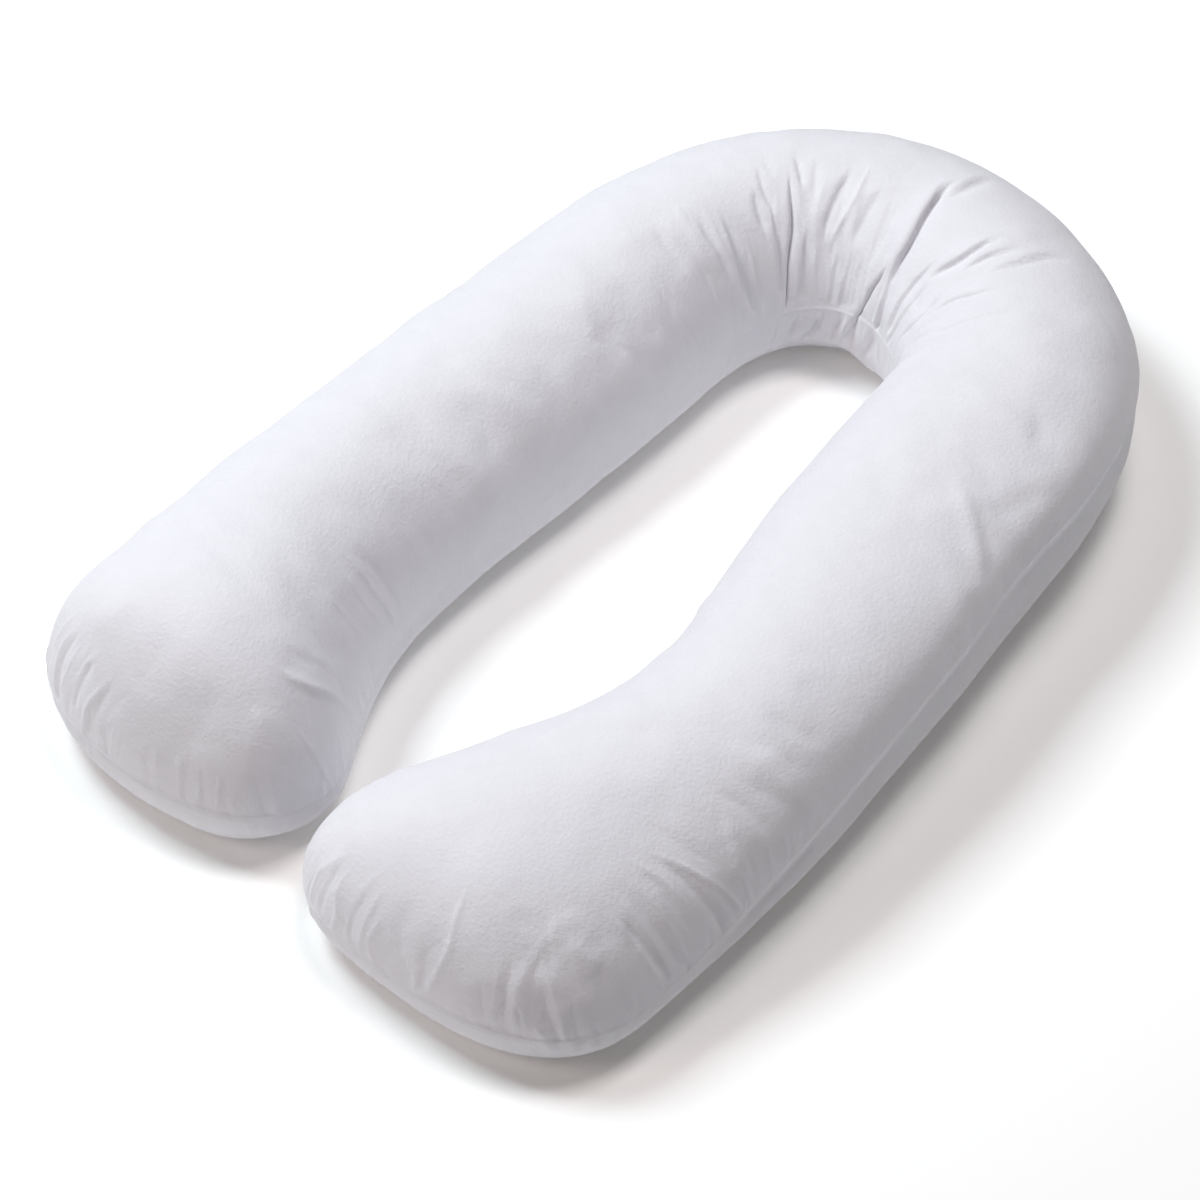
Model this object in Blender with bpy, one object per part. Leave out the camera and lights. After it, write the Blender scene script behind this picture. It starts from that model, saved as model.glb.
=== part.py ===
"""A U-shaped body pillow in plain white woven cotton, lying on a flat surface.

Two panels, cut alike, are sewn together along one seam that runs right round the U, and the cover is
filled firmly, so the pillow is one closed solid. Metres, +Z up. The bend lies towards +Y and the two
ends towards -Y. The origin is on the surface, under the middle of the pillow.

A place on the pillow is a pair of numbers. "Round" counts ribs along the seam: 0 to 10 up the outer
side from the left end to the right end, 10 to 12 round the right end, 12 to 22 back along the inner
side, and 22 to 24 round the left end. "Angle" is in degrees within the section there: 0 on the seam,
90 on the crown, more than 90 past the crown on the far side, and less than 0 on the bottom panel.
"""

from collections import namedtuple

import bpy
import numpy as np

# ---------------------------------------------------------------- sizes, in metres

Rib = namedtuple("Rib", "outer_x outer_y inner_x inner_y crown seam steps")
RIBS = (
    # outer seam (x, y), inner seam (x, y), crown height, seam height, steps to the next rib
    Rib(-0.396, -0.441, -0.028, -0.474, 0.218, 0.063, 6),  # the left arm's end
    Rib(-0.397, -0.291, -0.109, -0.283, 0.201, 0.064, 7),
    Rib(-0.388, -0.067, -0.113, -0.056, 0.195, 0.071, 6),
    Rib(-0.372, 0.175, -0.100, 0.157, 0.198, 0.078, 10),
    Rib(-0.294, 0.488, -0.084, 0.347, 0.207, 0.084, 22),
    Rib(-0.009, 0.650, 0.007, 0.382, 0.203, 0.096, 24),  # the middle of the bend
    Rib(0.290, 0.479, 0.088, 0.321, 0.201, 0.111, 10),
    Rib(0.377, 0.198, 0.106, 0.225, 0.200, 0.127, 7),
    Rib(0.395, -0.056, 0.130, -0.041, 0.194, 0.118, 6),
    Rib(0.399, -0.314, 0.137, -0.252, 0.188, 0.087, 8),
    Rib(0.380, -0.534, -0.002, -0.489, 0.176, 0.053, 0),  # the right arm's end
)

End = namedtuple("End", "outer inner forward length squareness lean")
ENDS = (
    # where round its outer and inner sides begin, its sense, length past the rib, corner shape, lean
    End(0, 22, -1, 0.131, 2.36, -0.146),  # left
    End(10, 12, 1, 0.137, 2.70, -0.084),  # right
)
END_STEPS = 36  # steps round each end
END_SOFTNESS = 0.015  # the arm's sides pass smoothly into its end over about six times this
DOME_SOFTNESS = 0.030  # and its crown over about six times this

TOP_FULLNESS = 0.559  # power of the section's rise: 0.5 is an ellipse, and more is leaner
END_FULLNESS = 0.475
BOTTOM_FULLNESS = 0.325
SETTLE = 0.013  # how far the weight presses the belly into the surface, which flattens it
ROLL = 0.004  # the flat belly rolls up into the sides over this much height

TOP_RINGS = (2.7, 8.0, 15.0, 22.0, 30.0, 38.0, 47.0, 56.0, 66.0, 77.0)  # degrees, seam to crown
BOTTOM_RINGS = (0.01, 0.08, 0.22, 0.42, 0.64, 0.83, 1.0)  # shares of the way from seam to contact
RESTING = 1e-6  # a point closer to the surface than this rests on it
SEAM_RIDGE = 0.0015  # the seam allowance lifts the cloth by this much

# ---------------------------------------------------------------- folds

# A fold runs from its far end to its seam end, and fades over these shares of its length.
FAR_FADE = 0.35
NEAR_FADE = 0.20
LIP_AT = 2.0  # a lip stands this many half-widths beside the fold's line
FOLD_SAMPLES = 20

Fold = namedtuple("Fold", "path half_width depth left_lip right_lip")
BEND_FOLDS = (
    Fold(((17.74, 86), (17.76, 74), (17.85, 35), (17.91, 1)), 0.008, 0.007, 0.0025, 0.0005),
    Fold(((17.98, 65), (18.02, 44), (18.03, 13)), 0.007, 0.0035, 0.0005, 0.0015),
    Fold(((18.32, 69), (18.28, 51), (18.25, 35), (18.20, 10)), 0.010, 0.004, 0.0015, 0.002),
    Fold(((18.58, 63), (18.57, 36), (18.57, 12)), 0.011, 0.0025, 0.0005, 0.0015),
    Fold(((17.39, 86), (17.45, 61), (17.54, 38)), 0.0125, 0.006, 0.0035, 0.0005),
    Fold(((17.68, 44), (17.75, 3)), 0.007, 0.0035, 0.0015, 0.0015),
    Fold(((17.34, 54), (17.35, 3)), 0.008, 0.0035, 0.0015, 0.0015),
    Fold(((17.19, 83), (17.23, 50)), 0.011, 0.0035, 0.0015, 0.0015),
    Fold(((16.82, 118), (16.91, 92), (16.89, 69), (16.87, 43), (16.84, 0)), 0.0115, 0.0105, 0.006, 0.000),
    Fold(((16.91, 46), (16.98, 28), (17.05, 16), (17.17, -1), (17.30, -18)), 0.008, 0.0065, 0.0015, 0.002),
    Fold(((16.46, 98), (16.45, 75), (16.51, 53), (16.60, 8)), 0.010, 0.005, 0.0015, 0.0025),
    Fold(((16.24, 120), (16.27, 103), (16.37, 72)), 0.011, 0.0045, 0.0015, 0.002),
    Fold(((16.26, 86), (16.33, 53), (16.38, 24)), 0.009, 0.004, 0.0015, 0.0015),
    Fold(((16.10, 80), (16.16, 60), (16.15, 46), (16.33, 18)), 0.010, 0.004, 0.0015, 0.0015),
    Fold(((15.90, 96), (15.78, 66), (15.88, 36), (16.36, 2)), 0.011, 0.0035, 0.0005, 0.0015),
)
END_FOLDS = (
    Fold(((23.47, 38), (23.45, 22), (23.42, 2)), 0.009, 0.003, 0.0015, 0.001),
    Fold(((23.29, 38), (23.31, 18), (23.33, 1)), 0.009, 0.0025, 0.0015, 0.001),
    Fold(((23.14, 34), (23.20, 19), (23.22, 4)), 0.008, -0.002, 0.000, 0.000),
    Fold(((22.98, 24), (22.97, 8), (22.96, -5)), 0.009, 0.003, 0.001, 0.001),
    Fold(((22.42, 26), (22.38, 2)), 0.009, 0.002, 0.0005, 0.0005),
    Fold(((22.11, 24), (22.07, 11), (22.04, -2)), 0.007, -0.002, 0.000, 0.000),
    Fold(((22.02, 48), (21.90, 36), (21.80, 26), (21.62, 7)), 0.009, -0.0035, 0.000, 0.000),
    Fold(((21.10, 46), (21.07, 31), (20.98, 2)), 0.008, -0.002, 0.000, 0.000),
    Fold(((11.30, 32), (11.28, 1)), 0.010, 0.003, 0.0015, 0.001),
    Fold(((11.13, 38), (11.14, 1)), 0.011, 0.003, 0.0015, 0.001),
    Fold(((10.96, 40), (10.97, 2)), 0.010, 0.0025, 0.001, 0.001),
    Fold(((10.84, 51), (10.84, 30), (10.89, 4)), 0.008, -0.0025, 0.000, 0.000),
    Fold(((10.64, 36), (10.67, 1)), 0.010, 0.003, 0.001, 0.001),
    Fold(((10.22, 60), (10.40, 42), (10.51, 32), (10.56, 15)), 0.0125, -0.0035, 0.000, 0.000),
    Fold(((10.44, 32), (10.44, 10), (10.40, -5)), 0.010, 0.004, 0.001, 0.0015),
    Fold(((10.28, 28), (10.27, -5)), 0.009, 0.003, 0.0015, 0.001),
    Fold(((9.93, 32), (9.96, -4)), 0.009, 0.0025, 0.001, 0.001),
    Fold(((9.80, 60), (9.72, 36)), 0.011, 0.002, 0.0005, 0.0005),
)
ARM_FOLDS = (
    Fold(((6.73, 66), (6.88, 54), (7.12, 43)), 0.016, 0.0035, 0.000, 0.001),
    Fold(((7.38, 61), (7.45, 48), (7.55, 33)), 0.016, 0.003, 0.001, 0.001),
    Fold(((8.87, 64), (8.80, 52), (8.70, 39)), 0.011, 0.002, 0.001, 0.0005),
    Fold(((9.30, 55), (9.22, 43), (9.15, 29)), 0.011, 0.002, 0.001, 0.0005),
    Fold(((20.77, 60), (20.77, 45), (20.73, 29)), 0.007, -0.0015, 0.000, 0.000),
    Fold(((20.45, 50), (20.43, 39), (20.40, 28)), 0.006, -0.0015, 0.000, 0.000),
)

Swell = namedtuple("Swell", "round angle radius height")
SWELLS = (
    # where the filling bulges (above 0) or gives way (below 0)
    Swell(22.78, 27, 0.060, -0.010),
    Swell(20.38, 76, 0.055, -0.004),
    Swell(20.02, 60, 0.050, -0.005),
    Swell(21.50, 64, 0.060, 0.004),
    Swell(23.40, 62, 0.060, 0.003),
    Swell(10.90, 62, 0.070, 0.003),
    Swell(9.60, 60, 0.050, -0.004),
    Swell(7.30, 58, 0.050, -0.004),
    Swell(6.30, 82, 0.060, 0.004),
    Swell(8.10, 70, 0.070, 0.003),
)

COTTON_WHITE = (0.86, 0.86, 0.885, 1.0)
COTTON_ROUGHNESS = 0.85

# ---------------------------------------------------------------- the loop round the seam

LAST_RIB = len(RIBS) - 1
FAN = 2  # the end's share of "round"
INNER_FROM = LAST_RIB + FAN
INNER_TO = 2 * LAST_RIB + FAN


def natural_spline(rows, at):
    """The rows of a table, read at any place between them, along one smooth curve."""
    rows = np.asarray(rows, float)
    inner = len(rows) - 2
    matrix = 4 * np.eye(inner) + np.eye(inner, k=1) + np.eye(inner, k=-1)
    bend = np.zeros_like(rows)
    bend[1:-1] = np.linalg.solve(matrix, 6 * (rows[2:] - 2 * rows[1:-1] + rows[:-2]))
    low = np.clip(np.floor(at).astype(int), 0, len(rows) - 2)
    after = (at - low)[:, None]
    before = 1 - after
    straight = before * rows[low] + after * rows[low + 1]
    return straight + ((before**3 - before) * bend[low] + (after**3 - after) * bend[low + 1]) / 6


def rib_of(around):
    """The rib coordinate, 0 to LAST_RIB, for each place round the seam."""
    inner = (around >= INNER_FROM) & (around <= INNER_TO)
    rib = np.where(inner, INNER_TO - around, around)
    rib = np.where(around > INNER_TO, 0, rib)
    return np.clip(rib, 0, LAST_RIB)


def turn_of(around):
    """0 where the spoke points to the outer seam, pi where it points to the inner seam."""
    right = np.clip((around - LAST_RIB) / FAN, 0, 1)
    left = np.clip((around - INNER_TO) / FAN, 0, 1)
    return np.pi * (right - left)


def end_shape(around):
    """Length, squareness and lean of the end that each place belongs to, and its sense."""
    right = (around < (LAST_RIB + INNER_TO + FAN) / 2)[:, None]
    shape = np.where(right, np.array(ENDS[1]), np.array(ENDS[0]))
    return shape[:, 3:4], shape[:, 4:5], shape[:, 5:6], shape[:, 2:3]


def spokes(around):
    """Each spoke's root on the middle line, its tip on the seam, crown and seam heights, and turn."""
    table = [rib[:6] for rib in RIBS]
    rib = natural_spline(table, rib_of(around))
    outer, inner = rib[:, 0:2], rib[:, 2:4]
    root, half = (outer + inner) / 2, (outer - inner) / 2
    length, squareness, lean, forward = end_shape(around)
    turn = turn_of(around)[:, None]
    across = np.sign(np.cos(turn)) * np.abs(np.cos(turn)) ** (2 / squareness)
    beyond = np.abs(np.sin(turn)) ** (2 / squareness)
    ahead = np.column_stack([half[:, 1], -half[:, 0]]) / np.linalg.norm(half, axis=1)[:, None]
    tip = root + across * half + beyond * length * forward * ahead + lean * beyond**2 * half
    return root, tip, rib[:, 4], rib[:, 5], turn[:, 0]


def settled(height):
    """The heights, with all that would lie below the surface pressed flat on it."""
    return np.where(height > ROLL, height, np.maximum(height + ROLL, 0) ** 2 / (4 * ROLL))


def section_height(spread, crown, seam, turn, top):
    """Heights of points at this spread: 0 over the middle line, and 1 on the seam."""
    rise = np.maximum(1 - spread**2, 0)
    fullness = TOP_FULLNESS + (END_FULLNESS - TOP_FULLNESS) * np.sin(turn) ** 2
    above = seam + (crown - seam) * rise**fullness
    below = settled(seam - (seam + SETTLE) * rise**BOTTOM_FULLNESS)
    return np.where(top, above, below)


def cut_form(around, angle):
    """Points of the form before the corners between the arms and their ends are softened."""
    root, tip, crown, seam, turn = spokes(around)
    spread = np.cos(np.radians(angle))
    level = root + (tip - root) * spread[:, None]
    return np.column_stack([level, section_height(spread, crown, seam, turn, angle >= 0)])


def corner_gap(distance, softness):
    """How far a smooth curve stays from a corner, at this distance along from it."""
    return softness * np.log1p(np.exp(-np.abs(distance) / softness))


def soften_end(end, around, angle, points):
    """Lets an arm pass smoothly into its end, where the two are cut with a corner between them."""
    root, tip, _, _, _ = spokes(np.array([float(end.outer)]))
    half = tip[0] - root[0]
    width = np.linalg.norm(half)
    ahead = end.forward * np.array([half[1], -half[0]]) / width
    beyond = (points[:, :2] - root[0]) @ ahead
    own_arm = (rib_of(around) < LAST_RIB / 2) == (end.forward < 0)
    near = np.flatnonzero(own_arm & (np.abs(beyond) < 8 * DOME_SOFTNESS))
    beyond, angle, around = beyond[near], angle[near], around[near]

    _, _, crown, seam, turn = spokes(around)
    spread = np.cos(np.radians(angle))
    across = spread * np.abs(np.cos(turn)) ** (2 / end.squareness)
    ramp = (np.maximum(beyond, 0) + corner_gap(beyond, DOME_SOFTNESS)) / end.length
    domed = (across**end.squareness + ramp**end.squareness) ** (1 / end.squareness)
    domed = spread + (domed - spread) * (1 - spread**4)
    top = angle >= 0
    lower = section_height(spread, crown, seam, turn, top) - section_height(domed, crown, seam, turn, top)

    outer = np.cos(turn) > 0
    matching = np.degrees(np.arccos(np.clip(across, 0, 1))) * np.where(top, 1, -1)
    here = cut_form(np.where(outer, end.outer, end.inner).astype(float), matching)
    step = 0.02 * end.forward * np.where(outer, -1, 1)
    back = cut_form(np.where(outer, end.outer, end.inner) + step, matching)
    gap = (here[:, :2] - back[:, :2]) @ ahead
    corner = (here - back) / gap[:, None] - np.array([*ahead, 0])
    points[near] -= corner * corner_gap(beyond, END_SOFTNESS)[:, None]
    points[near, 2] -= lower
    return points


def surface(around, angle):
    """The points of the plain filled form at these places."""
    past = angle > 90
    around = np.where(past, INNER_TO - around, around).astype(float)
    angle = np.where(past, 180 - angle, angle).astype(float)
    points = cut_form(around, angle)
    for end in ENDS:
        points = soften_end(end, around, angle, points)
    points[:, 2] = np.maximum(points[:, 2], 0)
    return points


# ---------------------------------------------------------------- the filled form as a mesh


def rib_places():
    """The rib coordinates of the sections, closer together where the bend is gathered."""
    places = [i + np.arange(rib.steps) / rib.steps for i, rib in enumerate(RIBS) if rib.steps]
    return np.concatenate(places + [[LAST_RIB]])


def around_and_roots():
    """Where the spokes stand round the seam, and which point of the middle line each starts from."""
    ribs = rib_places()
    fan = FAN * np.arange(1, END_STEPS) / END_STEPS
    around = np.concatenate([ribs, LAST_RIB + fan, INNER_TO - ribs[::-1], INNER_TO + fan])
    order = np.arange(len(ribs))
    last = np.full(len(fan), len(ribs) - 1)
    roots = np.concatenate([order, last, order[::-1], np.zeros(len(fan), int)])
    return ribs, around, roots


def panel_faces(seam, rings, middle):
    """The faces of one panel, from the seam through its rings to the middle line."""
    rows = [seam, *rings, middle]
    faces = []
    for low, high in zip(rows, rows[1:]):
        for here in range(len(low)):
            after = (here + 1) % len(low)
            corners = [low[here], low[after], high[after], high[here]]
            faces.append(list(dict.fromkeys(int(corner) for corner in corners)))
    return faces


def contact_angle(around):
    """The angle at which the bottom panel first touches the surface, at each place."""
    seam = spokes(around)[3]
    return -np.degrees(np.arcsin(((seam + ROLL) / (seam + SETTLE)) ** (0.5 / BOTTOM_FULLNESS)))


def filled_form():
    """Points and faces of the form, and which points lie on the seam."""
    ribs, around, roots = around_and_roots()
    count = len(around)
    angles = [np.full(count, angle) for angle in (0.0, *TOP_RINGS)]
    angles += [share * contact_angle(around) for share in BOTTOM_RINGS]
    points = [surface(around, angle) for angle in angles]
    points += [surface(ribs, np.full(len(ribs), angle)) for angle in (90.0, -90.0)]
    ring = [np.arange(count) + i * count for i in range(len(angles))]
    crown = len(angles) * count + roots
    belly = crown + len(ribs)
    top = panel_faces(ring[0], ring[1 : 1 + len(TOP_RINGS)], crown)
    bottom = panel_faces(ring[0], ring[1 + len(TOP_RINGS) :], belly)
    return np.concatenate(points), [face[::-1] for face in top] + bottom, ring[0]


# ---------------------------------------------------------------- folds, swells and the seam


def smooth_step(share):
    share = np.clip(share, 0, 1)
    return share * share * (3 - 2 * share)


def fold_line(path):
    """A path of (round, angle) places on the plain form, as closely spaced points."""
    at = np.linspace(0, len(path) - 1, FOLD_SAMPLES)
    places = natural_spline(path, at)
    return surface(places[:, 0], places[:, 1])


def nearest_on(line, points):
    """Each point's offset from the line, and the share of the line's length at its nearest place."""
    gaps = np.full(len(points), np.inf)
    offsets = np.zeros_like(points)
    along = np.zeros((len(points), 3))
    shares = np.zeros(len(points))
    for i, (start, end) in enumerate(zip(line, line[1:])):
        step = end - start
        share = np.clip((points - start) @ step / (step @ step), 0, 1)
        offset = points - start - share[:, None] * step
        gap = np.linalg.norm(offset, axis=1)
        closer = gap < gaps
        gaps[closer], offsets[closer] = gap[closer], offset[closer]
        along[closer], shares[closer] = step, (i + share[closer]) / (len(line) - 1)
    return gaps, offsets, along, shares


def fold_height(fold, points, normals):
    """How far the fold moves each point along its normal."""
    gaps, offsets, along, shares = nearest_on(fold_line(fold.path), points)
    left = np.einsum("ij,ij->i", np.cross(along, offsets), normals) > 0
    across = gaps / fold.half_width
    trough = -fold.depth * np.exp(-(across**2))
    lip = np.where(left, fold.left_lip, fold.right_lip) * np.exp(-((across - LIP_AT) ** 2))
    fade = smooth_step(shares / FAR_FADE) * smooth_step((1 - shares) / NEAR_FADE)
    return (trough + lip) * fade


def swell_height(swell, points):
    centre = surface(np.array([swell.round]), np.array([float(swell.angle)]))
    return swell.height * np.exp(-(np.linalg.norm(points - centre, axis=1) / swell.radius) ** 2)


def dress_surface(points, normals, seam):
    """The points with the swells, the folds and the seam's ridge worked into them."""
    height = np.zeros(len(points))
    for swell in SWELLS:
        height += swell_height(swell, points)
    for fold in BEND_FOLDS + END_FOLDS + ARM_FOLDS:
        height += fold_height(fold, points, normals)
    height[seam] += SEAM_RIDGE
    height[points[:, 2] < RESTING] = 0
    moved = points + normals * height[:, None]
    moved[:, 2] = np.maximum(moved[:, 2], 0)
    return moved


def centred(points):
    """The points with the middle of their box over the origin, and their lowest at zero."""
    middle = (points.min(axis=0) + points.max(axis=0)) / 2
    return points - [middle[0], middle[1], points[:, 2].min()]


# ---------------------------------------------------------------- the object


def cotton():
    material = bpy.data.materials.new("white_cotton")
    material.use_nodes = True
    shader = material.node_tree.nodes["Principled BSDF"]
    shader.inputs["Base Color"].default_value = COTTON_WHITE
    shader.inputs["Roughness"].default_value = COTTON_ROUGHNESS
    shader.inputs["Metallic"].default_value = 0.0
    return material


def vertex_normals(points, faces):
    shape = bpy.data.meshes.new("plain_form")
    shape.from_pydata(points.tolist(), [], faces)
    normals = np.empty(3 * len(points), np.float32)
    shape.vertices.foreach_get("normal", normals)
    bpy.data.meshes.remove(shape)
    return normals.reshape(-1, 3)


def make_pillow(collection):
    points, faces, seam = filled_form()
    points = centred(dress_surface(points, vertex_normals(points, faces), seam))
    shape = bpy.data.meshes.new("pillow")
    shape.from_pydata(points.tolist(), [], faces)
    shape.shade_smooth()
    shape.materials.append(cotton())
    collection.objects.link(bpy.data.objects.new("pillow", shape))


def clear_scene():
    for old in list(bpy.data.objects):
        bpy.data.objects.remove(old, do_unlink=True)


def main():
    clear_scene()
    collection = bpy.data.collections.new("body_pillow")
    bpy.context.scene.collection.children.link(collection)
    make_pillow(collection)


main()
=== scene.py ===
"""The looks of a U-shaped body pillow: a plain white cotton cover, firmly filled, on a white floor.

A place on the pillow is a pair of numbers. "Round" counts ribs along the seam: 0 to 10 up the outer
side from the left end to the right end, 10 to 12 round the right end, 12 to 22 back along the inner
side, and 22 to 24 round the left end. "Angle" is in degrees within the section there: 0 on the seam,
90 on the crown, more than 90 past the crown on the far side, and less than 0 on the bottom panel.
"""

import math
from collections import namedtuple

import bpy
import numpy as np
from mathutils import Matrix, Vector, noise


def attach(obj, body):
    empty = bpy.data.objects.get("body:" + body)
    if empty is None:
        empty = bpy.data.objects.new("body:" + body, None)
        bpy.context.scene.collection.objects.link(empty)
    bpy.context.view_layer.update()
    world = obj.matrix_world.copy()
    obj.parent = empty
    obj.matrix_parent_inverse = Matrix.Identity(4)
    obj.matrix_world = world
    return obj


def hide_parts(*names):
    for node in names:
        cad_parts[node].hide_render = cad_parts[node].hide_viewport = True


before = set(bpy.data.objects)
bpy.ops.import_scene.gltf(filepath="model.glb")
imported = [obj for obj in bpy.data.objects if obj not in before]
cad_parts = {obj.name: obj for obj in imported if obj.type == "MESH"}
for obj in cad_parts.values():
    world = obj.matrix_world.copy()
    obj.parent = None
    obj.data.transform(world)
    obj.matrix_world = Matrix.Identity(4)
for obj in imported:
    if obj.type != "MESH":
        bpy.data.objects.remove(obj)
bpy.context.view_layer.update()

# ---------------------------------------------------------------- sizes, in metres

Rib = namedtuple("Rib", "outer_x outer_y inner_x inner_y crown seam steps")
RIBS = (
    # outer seam (x, y), inner seam (x, y), crown height, seam height, steps to the next rib
    Rib(-0.396, -0.441, -0.028, -0.474, 0.218, 0.063, 40),  # the left arm's end
    Rib(-0.397, -0.291, -0.109, -0.283, 0.201, 0.064, 42),
    Rib(-0.388, -0.067, -0.113, -0.056, 0.195, 0.071, 30),
    Rib(-0.372, 0.175, -0.100, 0.157, 0.198, 0.078, 38),
    Rib(-0.294, 0.488, -0.084, 0.347, 0.207, 0.084, 56),
    Rib(-0.009, 0.650, 0.007, 0.382, 0.203, 0.096, 60),  # the middle of the bend
    Rib(0.290, 0.479, 0.088, 0.321, 0.201, 0.111, 36),
    Rib(0.377, 0.198, 0.106, 0.225, 0.200, 0.127, 34),
    Rib(0.395, -0.056, 0.130, -0.041, 0.194, 0.118, 44),
    Rib(0.399, -0.314, 0.137, -0.252, 0.188, 0.087, 52),
    Rib(0.380, -0.534, -0.002, -0.489, 0.176, 0.053, 0),  # the right arm's end
)
MIDDLE = np.array([0.0012, -0.0003, 0.0])  # the table's place for the frame's origin

End = namedtuple("End", "outer inner forward length squareness lean")
ENDS = (
    # where round its outer and inner sides begin, its sense, length past the rib, corner shape, lean
    End(0, 22, -1, 0.131, 2.36, -0.146),  # left
    End(10, 12, 1, 0.137, 2.70, -0.084),  # right
)
END_STEPS = 136  # steps round each end
END_SOFTNESS = 0.015  # the arm's sides pass smoothly into its end over about six times this
DOME_SOFTNESS = 0.030  # and its crown over about six times this
SOFTENED_REACH = 8  # times that softness: farther from the corner nothing moves
SLOPE_STEP = 0.02  # round, over which an arm's slope at its end is measured

TOP_FULLNESS = 0.559  # power of the section's rise: 0.5 is an ellipse, and more is leaner
END_FULLNESS = 0.475
BOTTOM_FULLNESS = 0.325
SETTLE = 0.013  # how far the weight presses the belly into the surface, which flattens it
ROLL = 0.004  # the flat belly rolls up into the sides over this much height
RESTING = 1e-6  # a point closer to the surface than this rests on it

TOP_RINGS = 31
BOTTOM_RINGS = 9
TOWARDS_SEAM = 1.4  # rings crowd towards the seam by this power

FineMesh = namedtuple("FineMesh", "start stop low high")
FINE_MESH = (
    # stretches whose cloth is gathered finely, and so has a mesh twice as fine, by round and angle
    FineMesh(15.6, 19.2, -25, 84),  # inside the bend
    FineMesh(8.9, 12.1, -10, 58),  # the right end
    FineMesh(20.9, 23.98, -10, 55),  # the left end
)

# ---------------------------------------------------------------- folds

# A fold runs from its far end to its seam end. Left and right are as seen along it from outside.
# A depth above 0 is a trough, and below 0 a ridge. A lip is raised beside the fold, and a pinch
# draws the cloth in towards it.
FAR_FADE = 0.30  # share of the length over which it fades out
SEAM_FADE = 0.12  # the same at an end that the seam holds
HELD_BELOW = 9.5  # an end below this angle is held by the seam
NARROWEST = 0.35  # how narrow it gets where it fades out
CREASE_POWER = 1.5  # 2 is a round-bottomed trough, and less is sharper
FOLD_SAMPLES = 24
LIP_SPREAD = 5.0  # a lip fades out over this many widths beside the fold's line
FOLD_REACH = 9.0  # widths beyond which a fold moves nothing
MAP_STEPS = 12  # straight steps by which the cloth's length along a spoke is measured

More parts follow.
